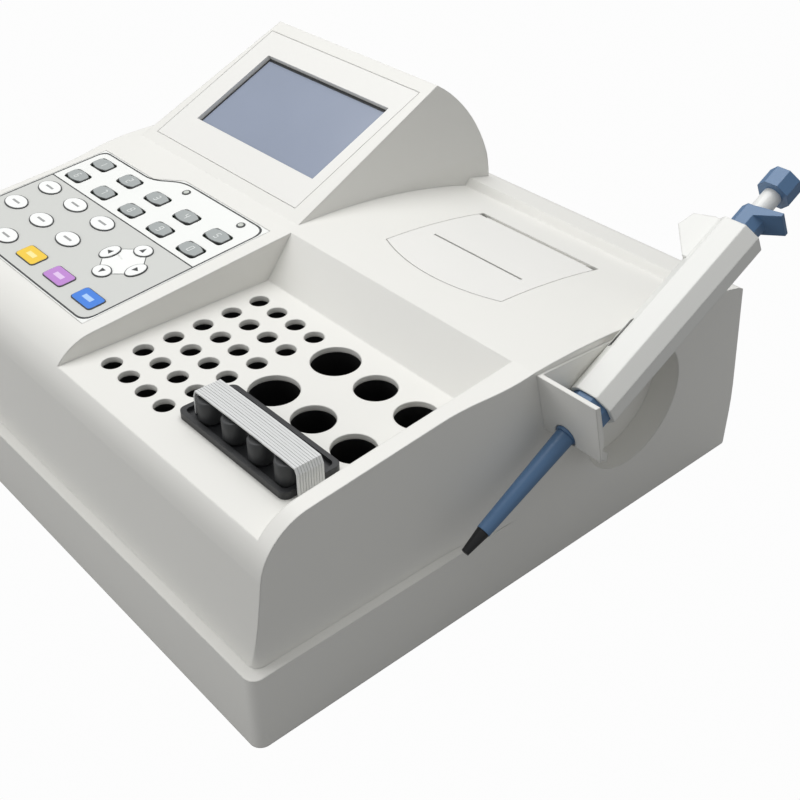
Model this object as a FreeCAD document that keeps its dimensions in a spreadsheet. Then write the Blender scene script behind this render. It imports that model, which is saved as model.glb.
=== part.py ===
import FreeCAD, Part
import math
import os

import Sketcher

# Coagulation analyzer: a moulded bench instrument with a keypad and a display hood on the left, a
# sample deck and a printer on the right, and a pipette resting in an ear on its right side.
# Millimetres. X runs to the right, Y to the back and Z up. Pieces are worked out from the middle of
# the cover and then moved so that the middle of the whole outline, with the ear, is the origin.

Vector = FreeCAD.Vector
Rotation = FreeCAD.Rotation
X_AXIS = Vector(1, 0, 0)
Y_AXIS = Vector(0, 1, 0)
Z_AXIS = Vector(0, 0, 1)
doc = FreeCAD.newDocument("CoagulationAnalyzer")
sheet = doc.addObject("Spreadsheet::Sheet", "Sizes")


class Size(float):
    """A number that remembers the sheet expression it was worked out from."""

    def __new__(cls, number, text):
        made = super().__new__(cls, number)
        made.text = text
        return made

    def __add__(self, other):
        return Size(float(self) + other, f"({self.text} + {text_of(other)})")

    def __radd__(self, other):
        return Size(other + float(self), f"({text_of(other)} + {self.text})")

    def __sub__(self, other):
        return Size(float(self) - other, f"({self.text} - {text_of(other)})")

    def __rsub__(self, other):
        return Size(other - float(self), f"({text_of(other)} - {self.text})")

    def __mul__(self, other):
        return Size(float(self) * other, f"({self.text} * {text_of(other)})")

    def __rmul__(self, other):
        return Size(other * float(self), f"({text_of(other)} * {self.text})")

    def __truediv__(self, other):
        return Size(float(self) / other, f"({self.text} / {text_of(other)})")

    def __neg__(self):
        return Size(-float(self), f"(0 - {self.text})")


def text_of(number):
    return number.text if isinstance(number, Size) else f"({float(number)!r})"


def size(alias, number):
    """Write one driving dimension to the sheet and return it."""
    row = len(sizes) + 1
    sheet.set(f"A{row}", alias)
    sheet.set(f"B{row}", str(number))
    sheet.setAlias(f"B{row}", alias)
    sizes[alias] = Size(number, f"Sizes.{alias}")
    return sizes[alias]


def sine(angle):
    return Size(math.sin(math.radians(angle)), f"sin({text_of(angle)} * 1 deg)")


def cosine(angle):
    return Size(math.cos(math.radians(angle)), f"cos({text_of(angle)} * 1 deg)")


def tangent(angle):
    return Size(math.tan(math.radians(angle)), f"tan({text_of(angle)} * 1 deg)")


def root(number):
    return Size(math.sqrt(number), f"sqrt({text_of(number)})")


sizes = {}
nodes = []
spots = {}
bases = {}


def bind(item, path, number):
    """Give a property its number and, where that comes from the sheet, the expression too."""
    if isinstance(number, Size):
        item.setExpression(path, number.text)
    elif hasattr(item, path):
        setattr(item, path, number)


def place(item, x=0.0, y=0.0, z=0.0, axis=None, angle=0.0):
    """Set an object's place, turned by an angle about one axis."""
    turn = Rotation(axis, float(angle)) if axis else Rotation()
    bases[item.Name] = x
    item.Placement = FreeCAD.Placement(Vector(x, y, z), turn)
    for letter, number in zip("xyz", (x, y, z)):
        bind(item, f"Placement.Base.{letter}", number)
    if axis:
        bind(item, "Placement.Rotation.Angle", angle)
    return item


def tilt(item, frame):
    """Move an object from its own upright place into a tilted frame."""
    frame_x, frame_y, frame_z, angle = frame
    x, y, z = spots.get(item.Name, (0.0, 0.0, 0.0))
    return place(item, frame_x + x, frame_y + cosine(angle) * y - sine(angle) * z,
                 frame_z + sine(angle) * y + cosine(angle) * z, X_AXIS, angle)


def node(item, label):
    """Name a finished sub-part and move it into the frame of the whole object."""
    item.Label = label
    nodes.append(item)
    x = bases.get(item.Name, 0.0) - ear_reach / 2
    item.Placement.Base.x = float(x)
    bind(item, "Placement.Base.x", x)
    return item


# Solids that the sub-parts are made of


def box(name, low, high):
    """A block from its lowest to its highest corner."""
    item = doc.addObject("Part::Box", name)
    for path, start, end in zip(("Length", "Width", "Height"), low, high):
        bind(item, path, end - start)
    spots[item.Name] = low
    return place(item, *low)


def rod(name, foot, radius, height, axis=None, angle=0.0):
    """A cylinder standing on its foot, upright or turned about an axis."""
    item = doc.addObject("Part::Cylinder", name)
    bind(item, "Radius", radius)
    bind(item, "Height", height)
    spots[item.Name] = foot
    return place(item, *foot, axis, angle)


def rod_x(name, foot, radius, length):
    """A cylinder that runs along X from its foot."""
    return rod(name, foot, radius, length, Y_AXIS, 90.0)


def cone(name, foot, low_radius, high_radius, height):
    item = doc.addObject("Part::Cone", name)
    bind(item, "Radius1", low_radius)
    bind(item, "Radius2", high_radius)
    bind(item, "Height", height)
    spots[item.Name] = foot
    return place(item, *foot)


def oval(name, foot, along_x, along_y, height):
    """An elliptical post, given by its two full widths."""
    outline = doc.addObject("Part::Ellipse", name + "_outline")
    bind(outline, "MajorRadius", max(along_x, along_y) / 2)
    bind(outline, "MinorRadius", min(along_x, along_y) / 2)
    place(outline, *foot, Z_AXIS, 90.0 if along_y > along_x else 0.0)
    item = doc.addObject("Part::Extrusion", name)
    item.Base = outline
    item.DirMode = "Custom"
    item.Dir = Z_AXIS
    item.Solid = True
    bind(item, "LengthFwd", height)
    return item


def fuse(name, *items):
    item = doc.addObject("Part::MultiFuse", name)
    item.Shapes = list(items)
    item.Refine = True
    return item


def cut(name, base, *tools):
    item = doc.addObject("Part::Cut", name)
    item.Base = base
    item.Tool = tools[0] if len(tools) == 1 else fuse(name + "_tools", *tools)
    item.Refine = True
    return item


def common(name, *items):
    item = doc.addObject("Part::MultiCommon", name)
    item.Shapes = list(items)
    return item


def middle_of_arc(start, end, radius):
    """The middle of an arc from start to end; a positive radius bulges to the left of the way."""
    across = end - start
    left = Vector(-across.y, across.x, 0).normalize()
    half = across.Length / 2
    rise = abs(radius) - math.sqrt(radius * radius - half * half)
    return (start + end) / 2 + left * math.copysign(rise, radius)


def sketch(body, role, points):
    """A closed outline on one of the body's planes. Each point is u, v and, where an arc leaves it
    for the next point, the arc's radius, positive where it bulges to the left."""
    made = body.newObject("Sketcher::SketchObject", body.Name + "_outline")
    plane = [item for item in body.Origin.OriginFeatures if item.Role == role][0]
    made.AttachmentSupport = [(plane, "")]
    made.MapMode = "FlatFace"
    corners = [Vector(point[0], point[1], 0) for point in points]
    count = len(points)
    ends = []
    for index, point in enumerate(points):
        start, end = corners[index], corners[(index + 1) % count]
        if len(point) == 3:
            middle = middle_of_arc(start, end, float(point[2]))
            clockwise = point[2] > 0
            first, last = (end, start) if clockwise else (start, end)
            made.addGeometry(Part.Arc(first, middle, last), False)
            ends.append((2, 1) if clockwise else (1, 2))
        else:
            made.addGeometry(Part.LineSegment(start, end), False)
            ends.append((1, 2))
    for index, point in enumerate(points):
        after = (index + 1) % count
        rule = Sketcher.Constraint("Coincident", index, ends[index][1], after, ends[after][0])
        made.addConstraint(rule)
        for kind, number in (("DistanceX", point[0]), ("DistanceY", point[1])):
            rule = Sketcher.Constraint(kind, -1, 1, index, ends[index][0], float(number))
            bind(made, f"Constraints[{made.addConstraint(rule)}]", number)
        if len(point) == 3:
            rule = Sketcher.Constraint("Radius", index, abs(float(point[2])))
            number = point[2] if point[2] > 0 else -point[2]
            bind(made, f"Constraints[{made.addConstraint(rule)}]", number)
    return made


def prism(name, role, points, length):
    """A body with one outline padded by a length."""
    body = doc.addObject("PartDesign::Body", name)
    outline = sketch(body, role, points)
    pad = body.newObject("PartDesign::Pad", name + "_pad")
    pad.Profile = outline
    bind(pad, "Length", length)
    outline.Visibility = False
    return body


def prism_x(name, points, low, high):
    """An outline in Y and Z, padded from low to high along X."""
    return place(prism(name, "YZ_Plane", points, high - low), x=low)


def prism_y(name, points, low, high):
    """An outline in X and Z, padded from low to high along Y."""
    return place(prism(name, "XZ_Plane", points, high - low), y=high)


def prism_z(name, points, low, high):
    """An outline in X and Y, padded from low to high along Z."""
    body = prism(name, "XY_Plane", points, high - low)
    spots[body.Name] = (0.0, 0.0, low)
    return place(body, z=low)


def rounded(low_x, low_y, high_x, high_y, radius):
    """The points of a rectangle with rounded corners, counterclockwise."""
    return [(low_x + radius, low_y), (high_x - radius, low_y, -radius),
            (high_x, low_y + radius), (high_x, high_y - radius, -radius),
            (high_x - radius, high_y), (low_x + radius, high_y, -radius),
            (low_x, high_y - radius), (low_x, low_y + radius, -radius)]


def mirrored(points):
    """An outline completed by its mirror image in X; the points climb the right side."""
    left = []
    for index in range(len(points) - 1, -1, -1):
        point = points[index]
        bend = points[index - 1][2:] if index else ()
        left.append((-point[0], point[1], *bend))
    return list(points) + left


# Driving dimensions: base and side view of the housing

base_width = size("base_width", 362)
base_depth = size("base_depth", 346)
foot_height = size("foot_height", 5)
foot_radius = size("foot_radius", 9)
foot_inset = size("foot_inset", 24)
plate_thickness = size("plate_thickness", 5)
plate_inset = size("plate_inset", 5)
plate_end = size("plate_end", 18)
base_corner = size("base_corner", 6)
ledge_top = size("ledge_top", 54)
ledge_side = size("ledge_side", 5.2)
ledge_front = size("ledge_front", 6)
flare_start = size("flare_start", 113)
flare_length = size("flare_length", 50)
upper_corner = size("upper_corner", 5)
wall = size("wall", 3)
seam = size("seam", 0.3)
boss_radius = size("boss_radius", 5)
boss_height = size("boss_height", 30)
screw_radius = size("screw_radius", 1.5)
screw_length = size("screw_length", 16)
screw_head_radius = size("screw_head_radius", 3.2)
screw_head_height = size("screw_head_height", 2)
screw_front = size("screw_front", 26)
screw_back = size("screw_back", 44)

front_lean = size("front_lean", 8)
corner_height = size("corner_height", 125.6)
shoulder_radius = size("shoulder_radius", 30)
platform_angle = size("platform_angle", 5.4)
crest_depth = size("crest_depth", 167)
rear_arc = size("rear_arc", 425)
strip_depth = size("strip_depth", 43)
strip_height = size("strip_height", 123.5)
strip_rise = size("strip_rise", 4)
strip_drop = size("strip_drop", 5)
rear_top = size("rear_top", 120.5)
rear_angle = size("rear_angle", 7.4)

half = base_width / 2
upper = half - ledge_side
front = -base_depth / 2
rear = base_depth / 2
bottom = foot_height + plate_thickness
face = front + ledge_front
corner_y = face + (corner_height - ledge_top) * tangent(front_lean)
reach = shoulder_radius * tangent((90 - front_lean - platform_angle) / 2)
crest_y = front + crest_depth
crest_z = corner_height + (crest_y - corner_y) * tangent(platform_angle)
strip_y = rear - strip_depth
rear_edge = rear - (rear_top - bottom) * tangent(rear_angle)

# Driving dimensions: sample deck

deck_floor = size("deck_floor", 116.6)
deck_width = size("deck_width", 169.6)
deck_rim = size("deck_rim", 8.8)
deck_back = size("deck_back", 148.2)
deck_back_lean = size("deck_back_lean", 17.8)
deck_right = upper - deck_rim
deck_left = deck_right - deck_width
deck_back_y = front + deck_back
under_deck = deck_floor - wall
sky = size("sky", 260)

small_hole = size("small_hole", 10.8)
small_pitch_x = size("small_pitch_x", 16)
small_pitch_y = size("small_pitch_y", 18.07)
small_first_x = size("small_first_x", 15.24)
small_first_y = size("small_first_y", 41)
large_hole = size("large_hole", 22.2)
stirred_hole = size("stirred_hole", 26)
large_row_front = size("large_row_front", 87.5)
large_row_back = size("large_row_back", 125.7)
large_column_left = size("large_column_left", 87.9)
large_column_middle = size("large_column_middle", 118.9)
large_column_right = size("large_column_right", 148.6)
column_margin = size("column_margin", 21)
well_depth = size("well_depth", 28)
well_floor = size("well_floor", 5)
block_margin = size("block_margin", 3)

spread = deck_width / (large_column_right + column_margin)
small_x = [deck_left + (small_first_x + small_pitch_x * column) * spread for column in range(4)]
small_y = [front + small_first_y + small_pitch_y * row for row in range(6)]
small_places = [(x, y, small_hole / 2) for x in small_x for y in small_y]
large_columns = ((large_column_left, stirred_hole / 2), (large_column_middle, large_hole / 2),
                 (large_column_right, large_hole / 2))
large_places = [(deck_left + column * spread, front + row, radius)
                for column, radius in large_columns
                for row in (large_row_front, large_row_back)]

# Driving dimensions: measuring channels

tray_left = size("tray_left", 74.6)
tray_width = size("tray_width", 83)
tray_front = size("tray_front", 41.4)
tray_depth = size("tray_depth", 32.6)
tray_height = size("tray_height", 4)
tray_rim = size("tray_rim", 2.6)
tray_floor = size("tray_floor", 1.6)
tray_corner = size("tray_corner", 4)
cap_radius = size("cap_radius", 5.8)
cap_height = size("cap_height", 12.4)
cap_pitch = size("cap_pitch", 19.9)
cap_first = size("cap_first", 14.6)
cap_row = size("cap_row", 9)
cap_spigot = size("cap_spigot", 4)
strip_count = 10
cuvette_pitch = size("cuvette_pitch", 1.45)
cuvette_thickness = size("cuvette_thickness", 1.2)
cuvette_start = size("cuvette_start", 6.2)
cuvette_height = size("cuvette_height", 16)
cuvette_bridge = size("cuvette_bridge", 1.6)
cuvette_web = size("cuvette_web", 1.1)
cuvette_leg = size("cuvette_leg", 2)
cuvette_front = size("cuvette_front", 6.1)
measuring_height = size("measuring_height", 24)

tray_x = deck_left + tray_left * spread
tray_right = tray_x + tray_width * spread
tray_y = front + tray_front
cap_x = [tray_x + (cap_first + cap_pitch * index) * spread for index in range(4)]
cap_y = tray_y + cap_row

# Driving dimensions: display hood, on a frame that lies on its front slope

hood_side = size("hood_side", 3.8)
hood_gap = size("hood_gap", 4)
hood_tip = size("hood_tip", 173)
hood_angle = size("hood_angle", 24.8)
hood_run = size("hood_run", 111)
hood_draft = size("hood_draft", 6)
hood_back_run = size("hood_back_run", 40)
hood_back_arc = size("hood_back_arc", 85)
hood_left = hood_side - upper
hood_right = deck_left - hood_gap
hood_y = front + hood_tip
hood_z = corner_height + (hood_y - corner_y) * tangent(platform_angle) - 0.8
ridge_y = hood_y + hood_run
ridge_z = hood_z + hood_run * tangent(hood_angle)
slope = (0.0, hood_y, hood_z, hood_angle)

bezel_side_left = size("bezel_side_left", 8)
bezel_side_right = size("bezel_side_right", 12.3)
bezel_low = size("bezel_low", 9.1)
bezel_length = size("bezel_length", 104)
bezel_thickness = size("bezel_thickness", 3)
window_low = size("window_low", 21.5)
window_length = size("window_length", 64)
window_side_left = size("window_side_left", 18)
window_side_right = size("window_side_right", 8.5)
glass_thickness = size("glass_thickness", 1.5)
glass_lap = size("glass_lap", 4)
lcd_depth = size("lcd_depth", 9)

bezel_left = hood_left + bezel_side_left
bezel_right = hood_right - bezel_side_right
window_left = bezel_left + window_side_left
window_right = bezel_right - window_side_right
window_start = bezel_low + window_low
window_end = window_start + window_length

# Driving dimensions: keypad, on a frame that lies on the platform

keypad_side = size("keypad_side", 4.9)
keypad_gap = size("keypad_gap", 10.4)
keypad_low = size("keypad_low", 24.5)
keypad_high_left = size("keypad_high_left", 132)
keypad_high_right = size("keypad_high_right", 143.7)
keypad_jog = size("keypad_jog", 55.2)
keypad_jog_run = size("keypad_jog_run", 17.7)
overlay_thickness = size("overlay_thickness", 0.8)
overlay_lap = size("overlay_lap", 4)
board_depth = size("board_depth", 4)
board_thickness = size("board_thickness", 1.6)
key_side = size("key_side", 16.3)
key_gap = size("key_gap", 0.3)
key_lip = size("key_lip", 1.2)
key_lip_thickness = size("key_lip_thickness", 0.8)
key_lip_gap = size("key_lip_gap", 0.2)
key_rise = size("key_rise", 0.7)
key_corner = size("key_corner", 2.6)
key_rows = (size("row_top", 120.4), size("row_numbers", 102.5), size("row_ovals", 83.2),
            size("row_soft", 60.8), size("row_colours", 38.3))
number_width = size("number_width", 17)
number_height = size("number_height", 10.5)
oval_width = size("oval_width", 20)
oval_height = size("oval_height", 12.4)
colour_width = size("colour_width", 20)
colour_height = size("colour_height", 11.5)
arrow_wide = size("arrow_wide", 13.6)
arrow_narrow = size("arrow_narrow", 10.4)
arrow_reach = size("arrow_reach", 13.6)
arrow_rise = size("arrow_rise", 13.2)
arrow_middle = size("arrow_middle", 70.2)
light_radius = size("light_radius", 2)
light_row = size("light_row", 136.2)

keypad_left = keypad_side - upper
keypad_right = deck_left - keypad_gap
keypad_jog_x = keypad_left + keypad_jog
panel = (0.0, corner_y, corner_height, platform_angle)
key_pitch = (keypad_right - keypad_left - key_side * 2) / 4 - 0.3
key_columns = [keypad_left + key_side + key_pitch * index for index in range(5)]
arrow_x = key_columns[3] + key_pitch * 0.42

# Driving dimensions: printer

door_left = size("door_left", 40.8)
door_width = size("door_width", 87.7)
door_front = size("door_front", 145.5)
door_back = size("door_back", 74.9)
door_bow = size("door_bow", 110)
door_thickness = size("door_thickness", 2.5)
hinge_radius = size("hinge_radius", 3.5)
hinge_end = size("hinge_end", 6)
pin_radius = size("pin_radius", 1.2)
pin_length = size("pin_length", 3.5)
running_gap = size("running_gap", 0.05)
slot_back = size("slot_back", 120.5)
slot_width = size("slot_width", 1.4)
slot_margin = size("slot_margin", 10.5)
tub_depth = size("tub_depth", 60)
tub_wall = size("tub_wall", 2)
tub_front = size("tub_front", 12)
bracket_inset = size("bracket_inset", 2.2)
bracket_wall = size("bracket_wall", 3)
roll_radius = size("roll_radius", 23)
roll_clearance = size("roll_clearance", 1)
roll_back = size("roll_back", 99)
roll_gap = size("roll_gap", 1)
spindle_radius = size("spindle_radius", 3)
platen_radius = size("platen_radius", 6)
platen_back = size("platen_back", 122)
platen_drop = size("platen_drop", 12)

door_x0 = deck_left + door_left
door_x1 = door_x0 + door_width
door_y0 = rear - door_front
hinge_y = rear - door_back
slot_y = rear - slot_back
platen_y = rear - platen_back
roll_y = rear - roll_back
bracket_x = door_x0 + bracket_inset
bracket_far = door_x1 - bracket_inset - bracket_wall

# Driving dimensions: rear connectors, on a frame that lies on the rear wall

inlet_left = size("inlet_left", 42)
inlet_width = size("inlet_width", 52)
inlet_height = size("inlet_height", 26)
inlet_low = size("inlet_low", 20)
inlet_depth = size("inlet_depth", 26)
inlet_flange = size("inlet_flange", 2.4)
inlet_flange_lap = size("inlet_flange_lap", 5)
rocker_width = size("rocker_width", 14)
rocker_height = size("rocker_height", 19)
rocker_gap = size("rocker_gap", 0.6)
rocker_tilt = size("rocker_tilt", 7)
rocker_depth = size("rocker_depth", 5)
serial_left = size("serial_left", 190)
serial_width = size("serial_width", 31)
serial_height = size("serial_height", 12.4)
serial_depth = size("serial_depth", 18)
board_post = size("board_post", 10)
board_left = size("board_left", 130)
board_width = size("board_width", 150)
board_length = size("board_length", 120)
supply_left = size("supply_left", 20)
supply_width = size("supply_width", 90)
supply_length = size("supply_length", 150)
supply_height = size("supply_height", 42)
supply_front = size("supply_front", 60)
supply_wall = size("supply_wall", 1.5)
post_radius = size("post_radius", 4)

socket_wall = size("socket_wall", 3)
socket_width = size("socket_width", 24)
socket_height = size("socket_height", 17)
socket_depth = size("socket_depth", 17)
socket_pin = size("socket_pin", 2)
board_margin = size("board_margin", 8)
light_shift = size("light_shift", 6.9)
screw_x = upper - wall - 3
board_span_x = board_width - board_margin * 2
board_span_y = board_length - board_margin * 2

rear_wall = (0.0, rear, bottom, rear_angle)
inlet_x = inlet_left - half
rocker_x = inlet_x + inlet_width - socket_wall - rocker_width
rocker_middle = inlet_low + inlet_height / 2
rocker_low = rocker_middle - rocker_height / 2 - 1.6
rocker_high = rocker_middle + rocker_height / 2 + 1.6
pivot_y = rear - cosine(rear_angle) * rocker_depth - sine(rear_angle) * rocker_middle
pivot_z = bottom - sine(rear_angle) * rocker_depth + cosine(rear_angle) * rocker_middle
switch = (rocker_x, pivot_y, pivot_z, rear_angle - rocker_tilt)
serial_x = serial_left - half
serial_z = bottom + board_post + board_thickness

# Driving dimensions: pipette and its ear

axis_side = size("axis_side", 14.1)
axis_depth = size("axis_depth", 175.7)
axis_height = size("axis_height", 107.2)
axis_rise = size("axis_rise", 28.6)
ear_thickness = size("ear_thickness", 3)
ear_reach = size("ear_reach", 36)
ear_top = size("ear_top", 138)
ear_top_y = size("ear_top_y", 7.7)
ear_knee = size("ear_knee", 103.5)
ear_knee_y = size("ear_knee_y", 0.9)
ear_end = size("ear_end", 50)
ear_end_y = size("ear_end_y", 59.3)
ear_hole = size("ear_hole", 6.2)
ear_sweep = size("ear_sweep", 200)
dish_radius = size("dish_radius", 36.5)
dish_depth = size("dish_depth", 16)
dish_back = size("dish_back", 71.3)
dish_height = size("dish_height", 82)

axis_x = half + axis_side
pipette = (axis_x, front + axis_depth, axis_height, axis_rise - 90)
dish_y = front + axis_depth + dish_back

shaft_tip = size("shaft_tip", 60)
shaft_thin = size("shaft_thin", 3.6)
shaft_thick = size("shaft_thick", 5)
nozzle_length = size("nozzle_length", 13)
nozzle_tip = size("nozzle_tip", 2)
nozzle_bore = size("nozzle_bore", 1)
collar_start = size("collar_start", 8)
collar_length = size("collar_length", 16)
collar_width = size("collar_width", 20)
handle_start = size("handle_start", 20)
handle_length = size("handle_length", 115)
handle_width = size("handle_width", 25)
handle_depth = size("handle_depth", 22)
counter_start = size("counter_start", 48)
counter_length = size("counter_length", 18)
counter_width = size("counter_width", 4)
hook_start = size("hook_start", 108)
hook_length = size("hook_length", 30)
hook_reach = size("hook_reach", 14)
stem_radius = size("stem_radius", 5)
stem_length = size("stem_length", 36)
ejector_width = size("ejector_width", 15)
ejector_height = size("ejector_height", 15)
ejector_reach = size("ejector_reach", 16)
knob_radius = size("knob_radius", 8.6)
knob_length = size("knob_length", 11)
knob_start = size("knob_start", 163)


def skin(inset):
    """The side outline of the upper body, moved inwards by a wall."""
    bend = shoulder_radius - inset
    low_y = corner_y + inset - reach * sine(front_lean)
    low_z = corner_height - reach * cosine(front_lean)
    high_y = corner_y + reach * cosine(platform_angle)
    high_z = corner_height + reach * sine(platform_angle) - inset
    points = [(face + inset, bottom), (face + inset, ledge_top), (low_y, low_z, bend),
              (high_y, high_z), (crest_y, crest_z - inset, rear_arc),
              (strip_y, strip_height - inset)]
    if not inset:
        points += [(strip_y + strip_rise, strip_height + strip_rise),
                   (rear_edge - strip_rise, strip_height + strip_rise - strip_drop)]
    return points + [(rear_edge - inset, rear_top - inset), (rear - inset, bottom)]


def surface(y):
    """The height of the rear half of the top at a depth y."""
    across = strip_y - crest_y
    fall = crest_z - strip_height
    chord = root(across * across + fall * fall)
    drop = root(rear_arc * rear_arc - chord * chord / 4)
    centre_y = (crest_y + strip_y) / 2 - drop * fall / chord
    centre_z = (crest_z + strip_height) / 2 - drop * across / chord
    return centre_z + root(rear_arc * rear_arc - (y - centre_y) * (y - centre_y))


hinge_z = surface(hinge_y) - hinge_radius - seam
tub_floor = hinge_z - tub_depth
platen_z = surface(platen_y) - platen_drop
roll_z = tub_floor + roll_radius + roll_clearance
door_gap = hinge_radius + seam * 2
screw_places = [(x, y) for x in (-screw_x, screw_x)
                for y in (front + screw_front, front + base_depth * 0.4, rear - screw_back)]


def wells(name, low, high, places):
    """A group of upright cutters, one for each place and radius."""
    return [rod(f"{name}_{index}", (x, y, low), radius, high - low)
            for index, (x, y, radius) in enumerate(places)]


def door_outline(grow, back):
    """The printer door seen from above, with its bowed front edge, grown all round."""
    left, right, low = door_x0 - grow, door_x1 + grow, door_y0 - grow
    return [(left, low, -door_bow), (right, low), (right, back), (left, back)]


def keypad_outline(inset):
    """The keypad seen square to the platform, moved inwards."""
    left, right = keypad_left + inset, keypad_right - inset
    return [(left, keypad_low + inset), (right, keypad_low + inset),
            (right, keypad_high_right - inset),
            (keypad_jog_x + keypad_jog_run + inset, keypad_high_right - inset),
            (keypad_jog_x + inset, keypad_high_left - inset), (left, keypad_high_left - inset)]


def make_ear():
    """The flange and scoop on the right side that hold the pipette."""
    axis_y = front + axis_depth
    top, knee, end = axis_y - ear_top_y, axis_y + ear_knee_y, axis_y + ear_end_y
    thick = ear_thickness
    band = prism_x("ear_band", [
        (top, ear_top), (knee, ear_knee), (end, ear_end), (end + thick, ear_end + thick),
        (knee + thick, ear_knee + thick), (top + thick, ear_top)], upper - wall, half + ear_reach)
    low, high = top - 2 * thick, end + 2 * thick
    plan = prism_z("ear_plan", [
        (upper - wall, low), (half + ear_reach, low), (half + ear_reach, knee, ear_sweep),
        (half, end), (half, high), (upper - wall, high)], foot_height, sky)
    cheek = prism_x("ear_cheek", [
        (top, ear_top), (knee, ear_knee), (end, ear_end), (end, surface(end) - wall),
        (top + thick, ear_top)], half - wall, half + thick / 2)
    scoop = common("scoop", band, plan)
    hole = tilt(rod("ear_hole", (0.0, 0.0, -60.0), ear_hole, 100.0), pipette)
    return scoop, cheek, hole


def make_housing():
    """The white cover: a hollow moulding open below, with hood, deck, printer opening and ear."""
    side_view = prism_x("side_view", skin(0.0), -half, half)
    flare = (ledge_side * ledge_side + flare_length * flare_length) / (ledge_side * 4)
    flare_y = front + flare_start
    right_side = [(upper - upper_corner, face, -upper_corner), (upper, face + upper_corner),
                  (upper, flare_y, flare), ((upper + half) / 2, flare_y + flare_length / 2, -flare),
                  (half, flare_y + flare_length), (half, rear - base_corner, -base_corner),
                  (half - base_corner, rear)]
    top_view = prism_z("top_view", mirrored(right_side), bottom, sky)
    upper_body = common("upper_body", side_view, top_view)

    lower_side = prism_x("lower_side", [(front, bottom), (rear, bottom), (rear_edge, rear_top),
                                        (front, rear_top)], -half, half)
    step = prism_z("step", rounded(-half, front, half, rear, base_corner), bottom, ledge_top)
    lower_body = common("lower_body", lower_side, step)

    foot = hood_z - 3 * wall
    hood_back = ridge_y + hood_back_run
    hood_side_view = prism_x("hood_side_view", [
        (hood_y, hood_z), (ridge_y, ridge_z, hood_back_arc),
        (hood_back, strip_height - wall), (ridge_y, strip_height - wall), (hood_y, foot)],
        hood_left, hood_right)
    hood_front_view = prism_y("hood_front_view", [
        (hood_left, strip_height - 2 * wall), (hood_right, strip_height - 2 * wall),
        (hood_right, hood_z), (hood_right - hood_draft, ridge_z),
        (hood_left + hood_draft, ridge_z), (hood_left, hood_z)], front, rear)
    hood = common("hood", hood_side_view, hood_front_view)

    scoop, cheek, hole = make_ear()
    outside = fuse("outside", upper_body, lower_body, hood, scoop, cheek)

    inner_side = prism_x("inner_side", skin(wall), wall - upper, upper - wall)
    shell_back = deck_back_y + 1.3 * wall
    deck_shell = prism_x("deck_shell", [
        (front, under_deck), (shell_back, under_deck), (shell_back + deck_back_lean, crest_z),
        (shell_back + deck_back_lean, sky), (front, sky)], deck_left - wall, half)
    dish_shell = rod_x("dish_shell", (half - dish_depth - wall, dish_y, dish_height),
                       dish_radius + wall, dish_depth + wall)
    keypad_shell = tilt(prism_z("keypad_shell", keypad_outline(overlay_lap - wall),
                                -board_depth - wall, wall), panel)
    bosses = [rod(f"boss_{index}", (x, y, bottom), boss_radius, boss_height)
              for index, (x, y) in enumerate(screw_places)]
    cavity = cut("cavity", inner_side, deck_shell, dish_shell, keypad_shell, *bosses)

    hood_low = strip_height - 4 * wall
    hood_inside = prism_x("hood_inside", [
        (hood_y + 5 * wall, hood_low), (hood_y + 5 * wall, hood_z + wall),
        (ridge_y - wall, ridge_z - 1.8 * wall, hood_back_arc - wall),
        (hood_back - 3 * wall, strip_height - 3 * wall), (hood_back - 3 * wall, hood_low)],
        hood_left + hood_draft + wall, hood_right - hood_draft - wall)
    pocket = prism_x("pocket", [
        (front, deck_floor), (deck_back_y, deck_floor), (deck_back_y + deck_back_lean, crest_z),
        (deck_back_y + deck_back_lean, sky), (front, sky)], deck_left, deck_right)
    holes = wells("deck_hole", under_deck - wall, deck_floor + wall, small_places + large_places)
    door_hole = prism_z("door_hole", door_outline(seam, hinge_y + door_gap),
                        under_deck, sky)
    dish = rod_x("dish", (half - dish_depth, dish_y, dish_height), dish_radius,
                 dish_depth + 2 * wall)

    bezel_seat = tilt(box("bezel_seat", (bezel_left, bezel_low, -bezel_thickness),
                          (bezel_right, bezel_low + bezel_length, wall)), slope)
    well_lap = glass_lap + 2
    display_well = tilt(box("display_well", (window_left - well_lap, window_start - well_lap,
                                             -bezel_thickness - glass_thickness - lcd_depth),
                            (window_right + well_lap, window_end + well_lap, wall)), slope)
    keypad_seat = tilt(prism_z("keypad_seat", keypad_outline(0.0), -overlay_thickness, wall), panel)
    board_seat = tilt(prism_z("board_seat", keypad_outline(overlay_lap), -board_depth, wall), panel)
    inlet_hole = tilt(box("inlet_hole", (inlet_x - seam, -4 * wall, inlet_low - seam),
                          (inlet_x + inlet_width + seam, 2 * wall,
                           inlet_low + inlet_height + seam)), rear_wall)
    serial_hole = box("serial_hole", (serial_x - seam, rear - 5 * wall, serial_z - seam),
                      (serial_x + serial_width + seam, rear + wall,
                       serial_z + serial_height + seam))
    screw_holes = [rod(f"screw_hole_{index}", (x, y, bottom), screw_radius + running_gap,
                       screw_length) for index, (x, y) in enumerate(screw_places)]
    return node(cut("housing", outside, cavity, hood_inside, pocket, *holes, door_hole, dish, hole,
                    *screw_holes, bezel_seat, display_well, keypad_seat, board_seat, inlet_hole, serial_hole),
                "main_housing")


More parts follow.
